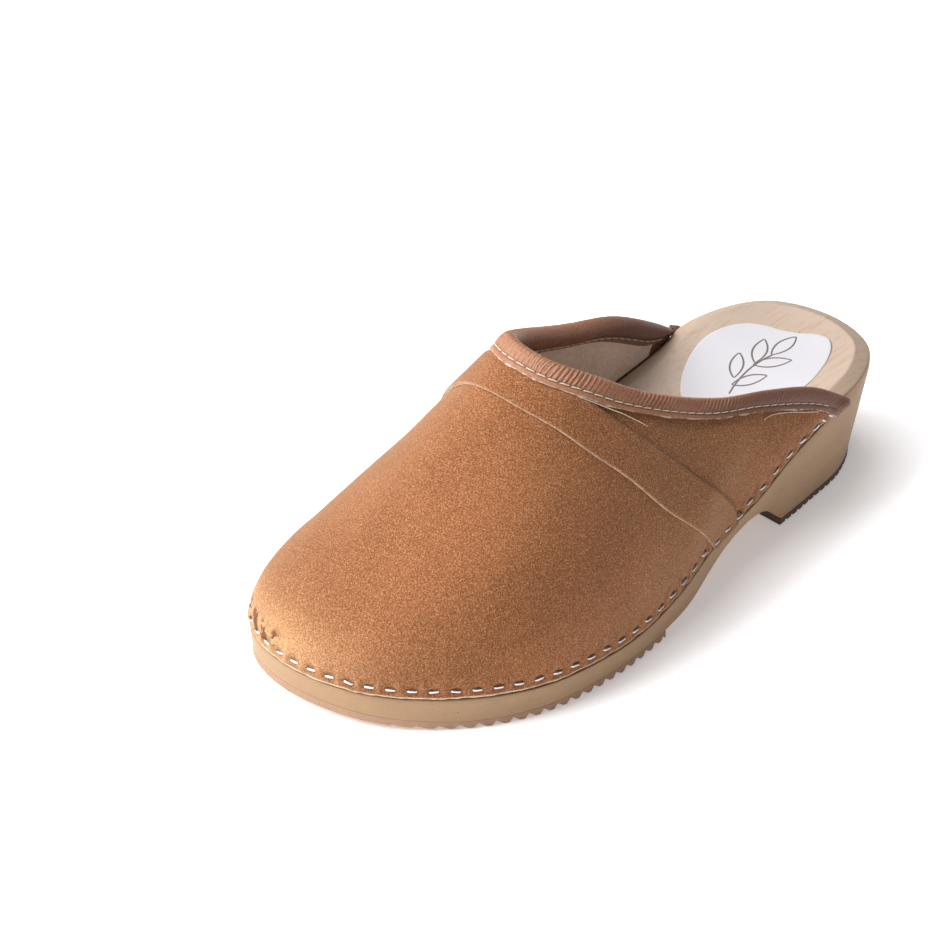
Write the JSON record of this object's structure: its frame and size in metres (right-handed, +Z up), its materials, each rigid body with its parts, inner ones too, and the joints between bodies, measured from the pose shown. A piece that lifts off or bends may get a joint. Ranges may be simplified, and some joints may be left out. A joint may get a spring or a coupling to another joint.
{
  "type": "wooden clog",
  "caption": "Left backless clog: carved wooden sole with rubber outsoles, suede upper stapled into a rebate, strap over the instep and a leather bound collar.",
  "frame": {"origin": "middle of the underside of the box round the shoe, on the ground", "axes": "+Y from the toe to the heel, +X to the outer side of a left foot, +Z up"},
  "size_m": [0.1126, 0.2626, 0.1007],
  "materials": {
    "sole_wood": "satin",
    "forefoot_rubber": "matt",
    "heel_rubber": "matt",
    "suede": "napped",
    "puff_board": "matt",
    "lining": "matt",
    "band_suede": "napped",
    "binding_leather": "semi gloss",
    "thread": "matt",
    "label": "smooth",
    "staple_wire": "bright"
  },
  "bodies": {
    "root": {"wooden_sole": "sole_wood", "forefoot_outsole": "forefoot_rubber", "heel_outsole": "heel_rubber", "upper": "suede", "toe_puff": "puff_board", "lining": "lining", "instep_band": "band_suede", "collar_binding": "binding_leather", "needle_thread": "thread", "bobbin_thread": "thread", "footbed_label": "label", "staple_01": "staple_wire", "staple_02": "staple_wire", "staple_03": "staple_wire", "staple_04": "staple_wire", "staple_05": "staple_wire", "staple_06": "staple_wire", "staple_07": "staple_wire", "staple_08": "staple_wire", "staple_09": "staple_wire", "staple_10": "staple_wire", "staple_11": "staple_wire", "staple_12": "staple_wire", "staple_13": "staple_wire", "staple_14": "staple_wire", "staple_15": "staple_wire", "staple_16": "staple_wire", "staple_17": "staple_wire", "staple_18": "staple_wire", "staple_19": "staple_wire", "staple_20": "staple_wire", "staple_21": "staple_wire", "staple_22": "staple_wire", "staple_23": "staple_wire", "staple_24": "staple_wire", "staple_25": "staple_wire", "staple_26": "staple_wire", "staple_27": "staple_wire", "staple_28": "staple_wire", "staple_29": "staple_wire", "staple_30": "staple_wire", "staple_31": "staple_wire", "staple_32": "staple_wire", "staple_33": "staple_wire", "staple_34": "staple_wire", "staple_35": "staple_wire", "staple_36": "staple_wire", "staple_37": "staple_wire", "staple_38": "staple_wire", "staple_39": "staple_wire", "staple_40": "staple_wire", "staple_41": "staple_wire", "staple_42": "staple_wire", "staple_43": "staple_wire", "staple_44": "staple_wire", "staple_45": "staple_wire", "staple_46": "staple_wire", "staple_47": "staple_wire", "staple_48": "staple_wire"}
  },
  "joints": []
}
